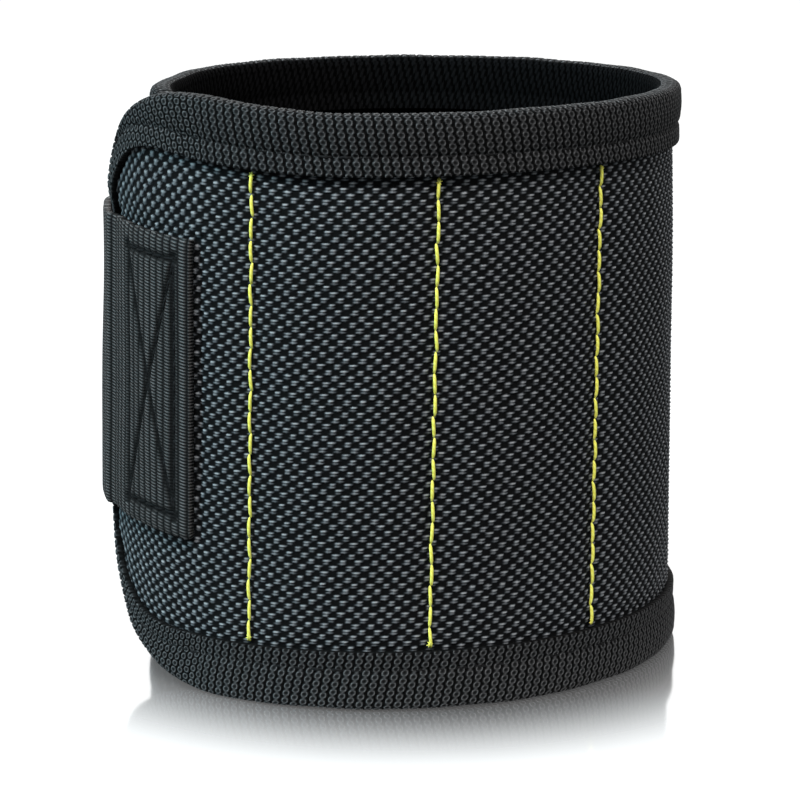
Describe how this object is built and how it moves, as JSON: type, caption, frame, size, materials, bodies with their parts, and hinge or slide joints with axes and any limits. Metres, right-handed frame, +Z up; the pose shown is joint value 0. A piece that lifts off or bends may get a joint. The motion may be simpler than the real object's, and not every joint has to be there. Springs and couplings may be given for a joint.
{
  "type": "magnetic wristband",
  "caption": "Padded fabric wristband coiled into a cuff, with disc magnets sewn into pockets to hold small metal parts, bound edges and an elastic strap closed by hook and loop.",
  "frame": {"origin": "on the floor, below the middle of the closed cuff's box", "axes": "+Z up along the cuff, -Y towards the front with the pocket seams, -X towards the flap and its strap"},
  "size_m": [0.0916, 0.0938, 0.089],
  "materials": {
    "outer_fabric": "coarse plain-woven nylon, dull sheen",
    "lining_fabric": "soft matte knit",
    "binding_tape": "ribbed woven tape, matte",
    "webbing": "ribbed elastic webbing, matte",
    "yellow_thread": "bright polyester thread, slight sheen",
    "black_thread": "polyester thread, slight sheen",
    "foam": "soft foam padding, matte",
    "magnet": "bright nickel plate",
    "hook_plastic": "moulded nylon hooks",
    "loop_pile": "brushed loop pile"
  },
  "bodies": {
    "band_front": {"front_outer_panel": "outer_fabric", "front_lining": "lining_fabric", "front_top_binding": "binding_tape", "front_bottom_binding": "binding_tape", "pocket_pad_1": "foam", "pocket_pad_2": "foam", "pocket_pad_3": "foam", "magnet_1_bottom": "magnet", "magnet_1_middle": "magnet", "magnet_1_top": "magnet", "magnet_2_bottom": "magnet", "magnet_2_middle": "magnet", "magnet_2_top": "magnet", "magnet_3_bottom": "magnet", "magnet_3_middle": "magnet", "magnet_3_top": "magnet", "pocket_seam_1": "yellow_thread", "pocket_seam_2": "yellow_thread", "pocket_seam_3": "yellow_thread", "pocket_seam_4": "yellow_thread"},
    "band_back": {"back_outer_panel": "outer_fabric", "back_lining": "lining_fabric", "back_top_binding": "binding_tape", "back_bottom_binding": "binding_tape", "pocket_pad_4": "foam", "pocket_pad_5": "foam", "magnet_4_bottom": "magnet", "magnet_4_middle": "magnet", "magnet_4_top": "magnet", "magnet_5_bottom": "magnet", "magnet_5_middle": "magnet", "magnet_5_top": "magnet", "pocket_seam_5": "yellow_thread", "pocket_seam_6": "yellow_thread"},
    "band_tail": {"tail_outer_panel": "outer_fabric", "tail_lining": "lining_fabric", "tail_binding": "binding_tape", "loop_panel": "loop_pile"},
    "end_flap": {"flap_outer_panel": "outer_fabric", "flap_lining": "lining_fabric", "flap_binding": "binding_tape", "strap_base": "webbing", "box_seam": "black_thread"},
    "strap": {"strap_webbing": "webbing"},
    "strap_tip": {"strap_tip_webbing": "webbing", "hook_tape": "hook_plastic"}
  },
  "joints": [
    {"name": "flap_open", "type": "hinge", "parent": "band_front", "child": "end_flap", "pos_m": [-0.02125, -0.0418, 0.0445], "axis": [0, 0, 1], "range_deg": [0, 80]},
    {"name": "back_open", "type": "hinge", "parent": "band_front", "child": "band_back", "pos_m": [0.04554, 0.00347, 0.0445], "axis": [0, 0, -1], "range_deg": [0, 22.5]},
    {"name": "tail_open", "type": "hinge", "parent": "band_back", "child": "band_tail", "pos_m": [0.01056, 0.04384, 0.0445], "axis": [0, 0, -1], "range_deg": [0, 28.1]},
    {"name": "strap_peel", "type": "hinge", "parent": "end_flap", "child": "strap", "pos_m": [-0.04578, -0.00629, 0.0445], "axis": [0, 0, 1], "range_deg": [0, 120]},
    {"name": "strap_tip_peel", "type": "hinge", "parent": "strap", "child": "strap_tip", "pos_m": [-0.03959, 0.01551, 0.0445], "axis": [0, 0, 1], "range_deg": [0, 60.1]}
  ],
  "couplings": [
    {"joint": "back_open", "follows": "flap_open", "ratio": 0.28},
    {"joint": "tail_open", "follows": "flap_open", "ratio": 0.35},
    {"joint": "strap_tip_peel", "follows": "strap_peel", "ratio": 0.5}
  ]
}
